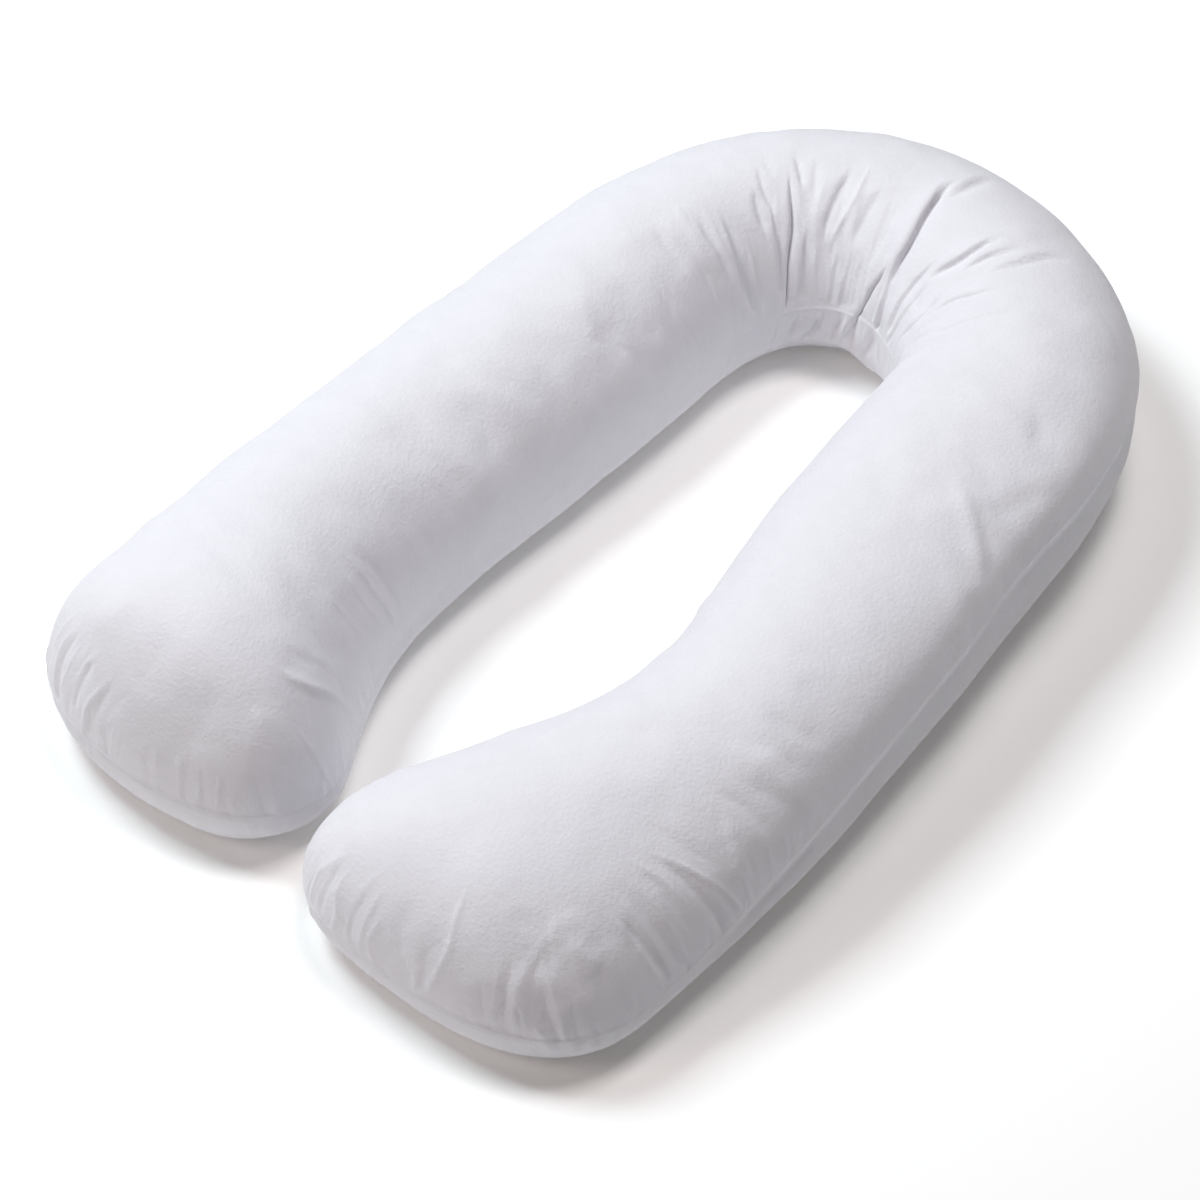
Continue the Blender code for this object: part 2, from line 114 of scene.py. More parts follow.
Fold = namedtuple("Fold", "path right left depth right_lip left_lip pinch", defaults=(0.0, 0.0, 0.0))
BEND_FOLDS = (
    # the sharp crease left of the middle, and the short one over its top
    Fold(((17.75, 79), (17.78, 59), (17.80, 45), (17.85, 30), (17.88, 15), (17.92, 0)),
         0.0025, 0.0045, 0.0075, 0.0015, 0.0, 0.002),
    Fold(((17.71, 90), (17.70, 76), (17.69, 65)), 0.003, 0.005, 0.0025, 0.0005),
    # left of it
    Fold(((17.91, 85), (17.93, 70), (17.92, 61), (17.88, 50)), 0.003, 0.005, 0.002, 0.0005),
    Fold(((17.87, 90), (17.86, 72)), 0.0035, 0.005, 0.001),
    Fold(((17.98, 70), (18.00, 57), (17.99, 44)), 0.004, 0.0065, 0.0025, 0.001),
    Fold(((17.91, 61), (17.91, 47), (17.91, 36), (17.93, 24), (17.97, 8)), 0.003, 0.007, 0.0035, 0.001),
    Fold(((18.22, 68), (18.22, 51), (18.23, 36), (18.22, 22), (18.18, 6)), 0.003, 0.007, 0.0035, 0.002),
    Fold(((18.12, 53), (18.14, 36), (18.14, 22), (18.12, 4)), 0.002, 0.003, -0.0015),
    Fold(((18.34, 71), (18.35, 57), (18.33, 46), (18.32, 30)), 0.0035, 0.007, 0.0025, 0.0015),
    Fold(((18.28, 78), (18.30, 58), (18.30, 47), (18.28, 33)), 0.002, 0.003, -0.0015),
    Fold(((18.38, 86), (18.42, 64), (18.43, 44)), 0.004, 0.0055, -0.001),
    Fold(((18.73, 63), (18.72, 44), (18.68, 29), (18.65, 16)), 0.002, 0.0035, -0.0015),
    Fold(((18.55, 79), (18.57, 62), (18.57, 46)), 0.0055, 0.0085, 0.0015),
    Fold(((19.30, 60), (19.15, 47), (19.05, 32), (19.00, 12)), 0.0085, 0.01, 0.0015),
    # right of it, with the leaf-shaped trough in the middle and its ridge
    Fold(((17.68, 46), (17.72, 28), (17.78, 5)), 0.0025, 0.0055, 0.0025, 0.001),
    Fold(((17.70, 60), (17.73, 34)), 0.004, 0.0065, 0.001),
    Fold(((17.40, 82), (17.44, 70), (17.49, 58), (17.53, 48), (17.55, 36)),
         0.0045, 0.0095, 0.003, 0.0015),
    Fold(((17.30, 92), (17.36, 62), (17.43, 49), (17.51, 34)), 0.0025, 0.0035, -0.0025),
    Fold(((17.54, 74), (17.61, 53), (17.65, 34)), 0.004, 0.004, -0.001),
    Fold(((17.60, 84), (17.63, 58)), 0.004, 0.0055, 0.002),
    Fold(((17.41, 36), (17.45, 4)), 0.003, 0.0055, 0.0015, 0.0005),
    Fold(((17.28, 36), (17.34, 3)), 0.003, 0.0055, 0.001, 0.0005),
    Fold(((17.20, 76), (17.25, 56), (17.31, 38)), 0.0055, 0.009, 0.0015, 0.001),
    Fold(((17.08, 72), (17.06, 53), (17.09, 34)), 0.0055, 0.0085, 0.002),
    # the deep tuck right of the middle, its top, and the branch that runs on under the seam
    Fold(((16.90, 101), (16.91, 88), (16.89, 72), (16.86, 58), (16.85, 47), (16.83, 28)),
         0.003, 0.0085, 0.0095, 0.004, 0.0, 0.003),
    Fold(((16.86, 58), (16.85, 40), (16.80, 18), (16.82, 0)), 0.002, 0.004, 0.004, 0.0015),
    Fold(((16.84, 122), (16.84, 99), (16.85, 83)), 0.004, 0.0085, 0.004, 0.002),
    Fold(((16.90, 47), (16.95, 34), (17.01, 23), (17.06, 12), (17.14, 0), (17.23, -6), (17.36, -18)),
         0.002, 0.0045, 0.005, 0.001, 0.0, 0.0015),
    # the fan on the right
    Fold(((16.48, 98), (16.46, 81), (16.45, 71), (16.47, 61), (16.52, 49)),
         0.003, 0.0075, 0.004, 0.0025),
    Fold(((16.57, 61), (16.59, 46), (16.59, 35), (16.58, 24), (16.57, 7)),
         0.003, 0.0065, 0.0035, 0.002),
    Fold(((16.36, 98), (16.37, 82), (16.37, 67)), 0.0035, 0.0065, 0.003, 0.002),
    Fold(((16.31, 124), (16.30, 106), (16.27, 94), (16.26, 75)), 0.0035, 0.0065, 0.003, 0.002),
    Fold(((16.11, 82), (16.13, 67), (16.16, 58), (16.16, 51), (16.15, 40)),
         0.003, 0.0065, 0.003, 0.001),
    Fold(((16.48, 51), (16.47, 40), (16.45, 30), (16.47, 17), (16.53, 1)),
         0.003, 0.0055, 0.0025, 0.001),
    Fold(((16.34, 60), (16.25, 45), (16.22, 33), (16.27, 14)), 0.003, 0.0065, 0.0025, 0.001),
    Fold(((15.90, 100), (15.85, 79), (15.83, 62), (15.83, 48), (16.02, 22)),
         0.003, 0.007, 0.0015, 0.0005),
    Fold(((15.55, 68), (15.58, 26)), 0.0035, 0.0065, 0.001),
    Fold(((15.04, 64), (15.17, 88)), 0.004, 0.0055, 0.001, 0.0005),
    # under the seam, inside the bend
    Fold(((17.49, 1), (17.62, -8), (17.75, -20)), 0.003, 0.004, 0.0045, 0.001),
    Fold(((17.76, 1), (17.85, -10), (17.92, -22)), 0.003, 0.004, 0.003, 0.001),
    Fold(((17.30, 1), (17.42, -9), (17.55, -21)), 0.003, 0.004, 0.003, 0.001),
    Fold(((17.96, 1), (18.03, -10), (18.09, -20)), 0.003, 0.004, 0.0025, 0.0005),
    Fold(((18.13, 1), (18.24, -10)), 0.003, 0.004, 0.002),
    Fold(((16.84, 1), (16.96, -7), (17.07, -19)), 0.003, 0.0055, 0.004, 0.001),
)
LEFT_END_FOLDS = (
    Fold(((23.56, 40), (23.56, 28), (23.58, 12)), 0.004, 0.004, -0.001),
    Fold(((23.52, 28), (23.51, 11), (23.49, 1)), 0.006, 0.006, 0.001),
    Fold(((23.46, 38), (23.49, 25), (23.47, 14), (23.47, 2)), 0.0025, 0.003, -0.001),
    Fold(((23.43, 40), (23.44, 23), (23.42, 10), (23.42, 1)), 0.005, 0.006, 0.002, 0.0005),
    Fold(((23.37, 38), (23.38, 26), (23.38, 18), (23.40, 8), (23.41, 1)), 0.0025, 0.003, -0.001),
    Fold(((23.29, 40), (23.31, 26), (23.32, 14), (23.33, 1)), 0.005, 0.005, 0.001),
    Fold(((23.22, 41), (23.29, 30), (23.31, 22), (23.34, 11)), 0.0025, 0.004, -0.001),
    Fold(((23.26, 36), (23.27, 23), (23.29, 8)), 0.005, 0.006, 0.002),
    Fold(((23.23, 33), (23.27, 19), (23.25, 9)), 0.0025, 0.003, -0.0005),
    Fold(((23.13, 35), (23.20, 19), (23.22, 12), (23.23, 1)), 0.0025, 0.004, -0.0015),
    Fold(((23.11, 35), (23.16, 17), (23.19, 3)), 0.005, 0.007, 0.0015),
    Fold(((23.04, 33), (23.11, 18), (23.11, 5)), 0.008, 0.008, 0.001),
    Fold(((22.96, 20), (22.96, 6), (22.96, -4)), 0.0045, 0.005, 0.0005, 0.0005),
    Fold(((22.93, 22), (22.93, 9), (22.93, -3)), 0.004, 0.0045, -0.0005),
    Fold(((22.60, 22), (22.62, 10), (22.62, 0)), 0.0045, 0.0045, 0.0005),
    Fold(((22.48, 27), (22.44, 13), (22.43, 0)), 0.005, 0.005, 0.001),
    Fold(((22.37, 25), (22.38, 13), (22.38, 1)), 0.0045, 0.0045, -0.0005),
    Fold(((22.06, 16), (22.11, 4), (22.11, -7)), 0.004, 0.004, -0.001),
    Fold(((22.17, 35), (22.11, 21), (22.09, 12), (22.04, -3)), 0.0025, 0.004, -0.001),
)
RIGHT_END_FOLDS = (
    Fold(((11.38, 27), (11.36, 12), (11.36, 1)), 0.0025, 0.003, -0.001),
    Fold(((11.29, 31), (11.27, 18), (11.27, 2)), 0.006, 0.006, 0.0015),
    Fold(((11.25, 37), (11.22, 22), (11.18, 12), (11.20, -2)), 0.0025, 0.004, -0.001),
    Fold(((11.11, 48), (11.13, 36), (11.13, 24), (11.13, 12)), 0.004, 0.004, -0.0005),
    Fold(((11.10, 33), (11.11, 17), (11.11, 4)), 0.005, 0.005, 0.001),
    Fold(((11.07, 40), (11.07, 26), (11.07, 13), (11.07, 0)), 0.0025, 0.004, -0.001),
    Fold(((11.02, 34), (11.04, 17), (11.04, 8), (11.02, -2)), 0.0025, 0.004, -0.001),
    Fold(((10.99, 40), (10.99, 22), (10.94, 2)), 0.007, 0.009, 0.001),
    Fold(((10.82, 61), (10.84, 45), (10.84, 32), (10.87, 17), (10.89, 2)), 0.003, 0.005, -0.001),
    Fold(((10.89, 40), (10.91, 20), (10.91, 3)), 0.007, 0.009, 0.001),
    Fold(((10.71, 27), (10.69, 12), (10.69, 0)), 0.004, 0.0045, 0.0005),
    Fold(((10.62, 36), (10.64, 17), (10.64, 1)), 0.0045, 0.0045, -0.0005),
    Fold(((10.09, 62), (10.31, 47), (10.44, 38), (10.53, 28), (10.56, 17), (10.56, 1)),
         0.0075, 0.01, -0.0015),
    Fold(((10.56, 39), (10.60, 18), (10.62, 0)), 0.006, 0.008, 0.0015),
    Fold(((10.37, 43), (10.46, 31), (10.45, 20), (10.42, 7)), 0.009, 0.006, 0.002),
    Fold(((10.44, 33), (10.42, 16), (10.38, -1)), 0.004, 0.005, 0.0015),
    Fold(((10.40, 35), (10.38, 17), (10.36, 1)), 0.0025, 0.0045, -0.001),
    Fold(((10.50, 17), (10.44, 0), (10.37, -8)), 0.004, 0.004, -0.001),
    Fold(((10.31, 23), (10.31, 10), (10.29, -3)), 0.003, 0.0045, 0.0015),
    Fold(((10.27, 23), (10.24, 11), (10.19, -4)), 0.003, 0.0045, 0.001),
    Fold(((10.29, 53), (10.36, 41), (10.38, 29)), 0.009, 0.005, 0.001),
    Fold(((10.07, 30), (10.09, 19), (10.07, 8)), 0.004, 0.0045, 0.001),
)
ARM_FOLDS = (
    # inner side of the left arm
    Fold(((22.10, 54), (22.02, 44), (21.93, 36), (21.80, 26), (21.66, 11)), 0.004, 0.007, -0.003),
    Fold(((21.97, 54), (21.82, 40), (21.68, 26)), 0.008, 0.0065, 0.0015),
    Fold(((21.44, 54), (21.38, 39), (21.30, 22)), 0.0025, 0.004, -0.001),
    Fold(((21.20, 51), (21.18, 34), (21.10, 13)), 0.003, 0.005, -0.001),
    Fold(((21.11, 53), (21.07, 31), (21.02, 9)), 0.0025, 0.005, -0.0015),
    Fold(((21.02, 54), (20.99, 33), (20.95, 12)), 0.008, 0.0065, 0.0015),
    Fold(((20.70, 63), (20.73, 49), (20.73, 35), (20.70, 18)), 0.0025, 0.005, -0.001),
    Fold(((20.62, 60), (20.64, 36), (20.62, 18)), 0.009, 0.007, 0.001),
    Fold(((20.50, 56), (20.45, 41), (20.43, 26)), 0.004, 0.007, 0.0015),
    Fold(((20.35, 53), (20.35, 37), (20.38, 18)), 0.003, 0.0055, -0.001),
    Fold(((20.06, 72), (20.02, 59), (20.05, 47), (20.15, 30)), 0.0095, 0.013, 0.002),
    Fold(((19.78, 69), (19.75, 58), (19.68, 44)), 0.0055, 0.008, 0.0015),
    Fold(((19.45, 89), (19.32, 73), (19.15, 55), (19.00, 35)), 0.0055, 0.011, 0.001),
    # outer side of the right arm
    Fold(((6.71, 66), (6.87, 58), (6.94, 53)), 0.008, 0.009, 0.0015, 0.0005),
    Fold(((7.12, 84), (7.22, 67), (7.32, 57)), 0.0145, 0.016, 0.0015),
    Fold(((7.30, 82), (7.40, 67), (7.45, 58), (7.53, 48), (7.58, 40), (7.66, 32)),
         0.009, 0.014, -0.004),
    Fold(((7.36, 65), (7.38, 59), (7.43, 51), (7.48, 42), (7.54, 32), (7.57, 20)), 0.016, 0.009, 0.002),
    Fold(((7.40, 57), (7.30, 47), (7.20, 42), (7.03, 38)), 0.014, 0.014, 0.0025),
    Fold(((7.46, 36), (7.52, 15), (7.50, 0)), 0.005, 0.006, 0.001),
    Fold(((7.38, 32), (7.35, 14), (7.32, 0)), 0.005, 0.006, 0.001),
    Fold(((7.20, 43), (7.20, 14), (7.17, -2)), 0.006, 0.007, 0.001),
    Fold(((8.87, 70), (8.80, 53), (8.71, 34)), 0.0065, 0.009, 0.002, 0.0005),
    Fold(((9.05, 71), (8.95, 54), (8.87, 35)), 0.0065, 0.009, 0.0015),
    Fold(((9.16, 57), (9.05, 37), (8.92, 15)), 0.011, 0.011, 0.0015),
    Fold(((9.29, 60), (9.20, 43), (9.15, 23)), 0.007, 0.0095, 0.002),
    Fold(((9.61, 64), (9.53, 47), (9.42, 28)), 0.008, 0.0095, 0.0015),
    Fold(((9.20, 31), (9.20, 2)), 0.0025, 0.003, -0.001),
    Fold(((9.10, 29), (9.10, 1)), 0.0025, 0.003, -0.001),
    Fold(((9.38, 33), (9.35, 11), (9.32, -3)), 0.0025, 0.003, -0.001),
    Fold(((9.56, 39), (9.50, 14), (9.43, -3)), 0.0025, 0.003, -0.001),
    Fold(((9.71, 58), (9.60, 44), (9.55, 36), (9.47, 22), (9.38, -3)), 0.0025, 0.003, -0.002),
    Fold(((9.71, 56), (9.62, 38), (9.57, 22), (9.50, 0)), 0.0055, 0.0055, 0.0025),
    Fold(((9.80, 60), (9.72, 46), (9.68, 34), (9.65, 15)), 0.0025, 0.003, -0.001),
    Fold(((9.77, 52), (9.73, 36), (9.70, 16)), 0.004, 0.005, 0.0015),
    Fold(((9.84, 57), (9.80, 38), (9.78, 21), (9.75, 3)), 0.0025, 0.003, -0.001),
    Fold(((9.87, 50), (9.85, 30), (9.80, 6)), 0.005, 0.005, 0.0015),
    Fold(((9.92, 51), (9.90, 30), (9.85, 5)), 0.0025, 0.003, -0.001),
    Fold(((9.97, 43), (9.93, 24), (9.88, 5)), 0.005, 0.005, 0.002),
    Fold(((10.01, 49), (9.97, 28), (9.93, 4)), 0.003, 0.003, -0.001),
)

Swell = namedtuple("Swell", "round angle radius height")
SWELLS = (
    # where the filling bulges (above 0) or gives way (below 0)
    Swell(22.78, 27, 0.060, -0.008),
    Swell(17.02, -34, 0.020, 0.005),
    Swell(16.72, -34, 0.020, 0.005),
    Swell(17.32, -34, 0.014, -0.004),
    Swell(20.36, 74, 0.045, -0.004),
    Swell(20.02, 60, 0.050, -0.004),
    Swell(21.50, 64, 0.060, 0.004),
    Swell(23.40, 62, 0.060, 0.003),
    Swell(10.90, 62, 0.070, 0.003),
    Swell(9.60, 60, 0.050, -0.004),
    Swell(6.90, 60, 0.050, -0.003),
    Swell(6.30, 82, 0.060, 0.004),
    Swell(8.10, 70, 0.070, 0.003),
    Swell(7.40, 8, 0.070, -0.005),
)

Roll = namedtuple("Roll", "start stop angle spread height")
ROLLS = (
    # bands along a side, by round and angle: the filling stands out (above 0) or gives way (below 0)
    Roll(6.2, 9.8, 28, 18, 0.0035),  # outer side of the right arm
    Roll(6.0, 9.8, 3, 16, -0.003),  # and it gives way along the seam there
    Roll(0.2, 9.8, -3, 4, -0.004),  # the seam draws the cloth in along the outer side
    Roll(17.9, 21.6, -3, 4, -0.002),  # and along the inner sides
    Roll(12.6, 15.8, -3, 4, -0.002),
)
ROLL_FADE = 0.7  # a band fades out over this much round at each end

Lumps = namedtuple("Lumps", "waves height")
LUMPS = (
    # the filling lies a little unevenly: waves in a metre, and their height
    Lumps(14.0, 0.0015),
    Lumps(36.0, 0.0005),
)

# Small folds at random places along each stretch: puckers beside the seam, gathers inside the
# bend and at the ends, and the soft drape of the cloth over its filling.
Gathers = namedtuple("Gathers", "start stop count low high reach slant spread width depth")
GATHERS = (
    # stretch, count, angles where they begin, longest reach in degrees, slant and its spread, size
    Gathers(15.9, 18.9, 60, 0, 6, 50, 0.0, 0.03, 0.0035, 0.0009),  # inside the bend
    Gathers(16.7, 18.4, 30, 0, 0, -26, 0.16, 0.08, 0.0040, 0.0018),
    Gathers(15.9, 19.2, 20, 0, 0, -20, 0.10, 0.08, 0.0040, 0.0014),
    Gathers(15.8, 19.2, 44, 8, 40, 45, 0.0, 0.06, 0.0060, 0.0012),
    Gathers(9.0, 12.3, 50, 0, 0, 26, 0.0, 0.03, 0.0040, 0.0010),  # the right end
    Gathers(9.3, 12.3, 24, 0, 0, -14, 0.0, 0.03, 0.0040, 0.0010),
    Gathers(9.0, 12.2, 26, 8, 30, 35, 0.0, 0.08, 0.0080, 0.0011),
    Gathers(21.3, 24.0, 46, 0, 0, 22, 0.0, 0.03, 0.0040, 0.0009),  # the left end
    Gathers(21.5, 24.0, 22, 0, 0, -14, 0.0, 0.03, 0.0040, 0.0010),
    Gathers(20.0, 24.0, 20, 8, 30, 35, 0.0, 0.10, 0.0090, 0.0007),
    Gathers(0.0, 9.3, 50, 0, 0, 10, 0.0, 0.02, 0.0050, 0.0006),  # the outer side
    Gathers(12.3, 15.9, 26, 0, 0, 10, 0.0, 0.02, 0.0050, 0.0007),
    Gathers(18.9, 21.5, 22, 0, 0, 10, 0.0, 0.02, 0.0050, 0.0007),
    Gathers(0.0, 10.0, 90, 10, 75, 55, 0.0, 0.20, 0.0240, 0.0018),  # drape
    Gathers(12.0, 22.0, 80, 10, 75, 55, 0.0, 0.20, 0.0240, 0.0022),
    Gathers(10.0, 12.0, 10, 10, 40, 35, 0.0, 0.20, 0.0240, 0.0018),
    Gathers(22.0, 24.0, 10, 10, 40, 35, 0.0, 0.20, 0.0240, 0.0018),
)
GATHER_SEED = 7
SHORTEST, LONGEST = 0.4, 1.0  # shares of the reach
NARROW, WIDE = 0.5, 1.0  # shares of the width
SHALLOW, DEEP = 0.3, 1.0  # shares of the depth
LOPSIDED = (0.7, 1.4)  # the left width, as a share of the right one
BOW = 0.2  # how far a fold's middle strays, as a share of the slant's spread

SEAM_RIDGE = 0.0010  # the seam allowance lifts the cloth by this much
SEAM_WIDTH = 0.0022  # and this far to each side

# ---------------------------------------------------------------- cloth, floor, light and camera

COTTON_WHITE = (0.733, 0.722, 0.765)
DARKER, LIGHTER = 0.965, 1.02  # how far the cotton's colour varies
COTTON_ROUGHNESS = 0.86
SHEEN, SHEEN_ROUGHNESS = 0.12, 0.5
THREAD_GAP = 0.0009  # between neighbouring threads of the weave

Grain = namedtuple("Grain", "scale detail distance strength")
TONES = Grain(40.0, 6.0, 0, 0)  # the uneven colour, which has no relief
SLUBS = Grain(240.0, 3.0, 0.0005, 1.0)  # thick places in the yarn
RIPPLES = Grain(60.0, 4.0, 0.002, 0.2)  # small unevenness of the cloth
WEAVE_DISTANCE, WEAVE_STRENGTH = 0.00012, 0.5

FLOOR_WHITE = (0.95, 0.95, 0.95, 1.0)
FLOOR_GLOW = (1.0, 0.98, 0.90, 1.0)  # the white table is lit a little from below
GLOW_STRENGTH = 0.085
FLOOR_ROUGHNESS = 0.9
FLOOR_SPECULAR = 0.1
FLOOR_SIZE = 14.0

LIGHT_DISTANCE = 4.5
LIGHT_SIZE = 1.8
LIGHT_TARGET = Vector((0, 0, 0.1))
Light = namedtuple("Light", "name azimuth elevation power colour")
LIGHTS = (
    Light("key", 276, 55, 156, (0.86, 0.955, 0.98)),
    Light("fill", 156, 75, 104, (1.0, 0.955, 0.955)),
    Light("front", 336, 35, 42, (1.0, 0.84, 0.80)),
)
WORLD_STRENGTH = 0.01

CAMERA_AZIMUTH = 36.01
CAMERA_ELEVATION = 41.98
CAMERA_DISTANCE = 4.482
CAMERA_TARGET = Vector((0.0351, -0.1425, 0.0916))
SENSOR = 36.0
LENS = 133.9

# ---------------------------------------------------------------- the loop round the seam

LAST_RIB = len(RIBS) - 1
FAN = 2  # the end's share of "round"
INNER_FROM = LAST_RIB + FAN
INNER_TO = 2 * LAST_RIB + FAN


def natural_spline(rows, at):
    """The rows of a table, read at any place between them, along one smooth curve."""
    rows = np.asarray(rows, float)
    inner = len(rows) - 2
    matrix = 4 * np.eye(inner) + np.eye(inner, k=1) + np.eye(inner, k=-1)
    bend = np.zeros_like(rows)
    bend[1:-1] = np.linalg.solve(matrix, 6 * (rows[2:] - 2 * rows[1:-1] + rows[:-2]))
    low = np.clip(np.floor(at).astype(int), 0, len(rows) - 2)
    after = (at - low)[:, None]
    before = 1 - after
    straight = before * rows[low] + after * rows[low + 1]
    return straight + ((before**3 - before) * bend[low] + (after**3 - after) * bend[low + 1]) / 6


def rib_of(around):
    """The rib coordinate, 0 to LAST_RIB, for each place round the seam."""
    inner = (around >= INNER_FROM) & (around <= INNER_TO)
    rib = np.where(inner, INNER_TO - around, around)
    rib = np.where(around > INNER_TO, 0, rib)
    return np.clip(rib, 0, LAST_RIB)


def turn_of(around):
    """0 where the spoke points to the outer seam, pi where it points to the inner seam."""
    right = np.clip((around - LAST_RIB) / FAN, 0, 1)
    left = np.clip((around - INNER_TO) / FAN, 0, 1)
    return np.pi * (right - left)


def end_shape(around):
    """Length, squareness and lean of the end that each place belongs to, and its sense."""
    right = (around < (LAST_RIB + INNER_TO + FAN) / 2)[:, None]
    shape = np.where(right, np.array(ENDS[1]), np.array(ENDS[0]))
    return shape[:, 3:4], shape[:, 4:5], shape[:, 5:6], shape[:, 2:3]


def spokes(around):
    """Each spoke's root on the middle line, its tip on the seam, crown and seam heights, and turn."""
    table = [rib[:6] for rib in RIBS]
    rib = natural_spline(table, rib_of(around))
    outer, inner = rib[:, 0:2], rib[:, 2:4]
    root, half = (outer + inner) / 2, (outer - inner) / 2
    length, squareness, lean, forward = end_shape(around)
    turn = turn_of(around)[:, None]
    across = np.sign(np.cos(turn)) * np.abs(np.cos(turn)) ** (2 / squareness)
    beyond = np.abs(np.sin(turn)) ** (2 / squareness)
    ahead = np.column_stack([half[:, 1], -half[:, 0]]) / np.linalg.norm(half, axis=1)[:, None]
    tip = root + across * half + beyond * length * forward * ahead + lean * beyond**2 * half
    return root, tip, rib[:, 4], rib[:, 5], turn[:, 0]


def settled(height):
    """The heights, with all that would lie below the surface pressed flat on it."""
    return np.where(height > ROLL, height, np.maximum(height + ROLL, 0) ** 2 / (4 * ROLL))


def section_height(spread, crown, seam, turn, top):
    """Heights of points at this spread: 0 over the middle line, and 1 on the seam."""
    rise = np.maximum(1 - spread**2, 0)
    fullness = TOP_FULLNESS + (END_FULLNESS - TOP_FULLNESS) * np.sin(turn) ** 2
    above = seam + (crown - seam) * rise**fullness
    below = settled(seam - (seam + SETTLE) * rise**BOTTOM_FULLNESS)
    return np.where(top, above, below)


def cut_form(around, angle):
    """Points of the form before the corners between the arms and their ends are softened."""
    root, tip, crown, seam, turn = spokes(around)
    spread = np.cos(np.radians(angle))
    level = root + (tip - root) * spread[:, None]
    return np.column_stack([level, section_height(spread, crown, seam, turn, angle >= 0)])


def corner_gap(distance, softness):
    """How far a smooth curve stays from a corner, at this distance along from it."""
    return softness * np.log1p(np.exp(-np.abs(distance) / softness))


def soften_end(end, around, angle, points):
    """Lets an arm pass smoothly into its end, where the two are cut with a corner between them."""
    root, tip, _, _, _ = spokes(np.array([float(end.outer)]))
    half = tip[0] - root[0]
    width = np.linalg.norm(half)
    ahead = end.forward * np.array([half[1], -half[0]]) / width
    beyond = (points[:, :2] - root[0]) @ ahead
    own_arm = (rib_of(around) < LAST_RIB / 2) == (end.forward < 0)
    near = np.flatnonzero(own_arm & (np.abs(beyond) < SOFTENED_REACH * DOME_SOFTNESS))
    beyond, angle, around = beyond[near], angle[near], around[near]

    _, _, crown, seam, turn = spokes(around)
    spread = np.cos(np.radians(angle))
    across = spread * np.abs(np.cos(turn)) ** (2 / end.squareness)
    ramp = (np.maximum(beyond, 0) + corner_gap(beyond, DOME_SOFTNESS)) / end.length
    domed = (across**end.squareness + ramp**end.squareness) ** (1 / end.squareness)
    domed = spread + (domed - spread) * (1 - spread**4)
    top = angle >= 0
    lower = section_height(spread, crown, seam, turn, top)
    lower = lower - section_height(domed, crown, seam, turn, top)

    outer = np.cos(turn) > 0
    matching = np.degrees(np.arccos(np.clip(across, 0, 1))) * np.where(top, 1, -1)
    here = cut_form(np.where(outer, end.outer, end.inner).astype(float), matching)
    step = SLOPE_STEP * end.forward * np.where(outer, -1, 1)
    back = cut_form(np.where(outer, end.outer, end.inner) + step, matching)
    gap = (here[:, :2] - back[:, :2]) @ ahead
    corner = (here - back) / gap[:, None] - np.array([*ahead, 0])
    points[near] -= corner * corner_gap(beyond, END_SOFTNESS)[:, None]
    points[near, 2] -= lower
    return points


def surface(around, angle):
    """The points of the plain filled form at these places."""
    past = angle > 90
    around = np.where(past, INNER_TO - around, around).astype(float)
    angle = np.where(past, 180 - angle, angle).astype(float)
    points = cut_form(around, angle)
    for end in ENDS:
        points = soften_end(end, around, angle, points)
    points[:, 2] = np.maximum(points[:, 2], 0)
    return points - MIDDLE


# ---------------------------------------------------------------- the filled form as a fine mesh


def rib_places():
    """The rib coordinates of the sections, closer together where the bend is gathered."""
    places = [i + np.arange(rib.steps) / rib.steps for i, rib in enumerate(RIBS) if rib.steps]
    return np.concatenate(places + [[LAST_RIB]])


def around_and_roots():
    """Where the spokes stand round the seam, and which point of the middle line each starts from."""
    ribs = rib_places()
    fan = FAN * np.arange(1, END_STEPS) / END_STEPS
    around = np.concatenate([ribs, LAST_RIB + fan, INNER_TO - ribs[::-1], INNER_TO + fan])
    order = np.arange(len(ribs))
    last = np.full(len(fan), len(ribs) - 1)
    roots = np.concatenate([order, last, order[::-1], np.zeros(len(fan), int)])
    return ribs, around, roots


def contact_angle(around):
    """The angle at which the bottom panel first touches the surface, at each place."""
    seam = spokes(around)[3]
    return -np.degrees(np.arcsin(((seam + ROLL) / (seam + SETTLE)) ** (0.5 / BOTTOM_FULLNESS)))


def panel_faces(seam, rings, middle):
    """The faces of one panel, from the seam through its rings to the middle line."""
    rows = [seam, *rings, middle]
    faces = []
    for low, high in zip(rows, rows[1:]):
        after = np.roll(low, -1), np.roll(high, -1)
        for corners in zip(low.tolist(), after[0].tolist(), after[1].tolist(), high.tolist()):
            faces.append(list(dict.fromkeys(corners)))
    return faces


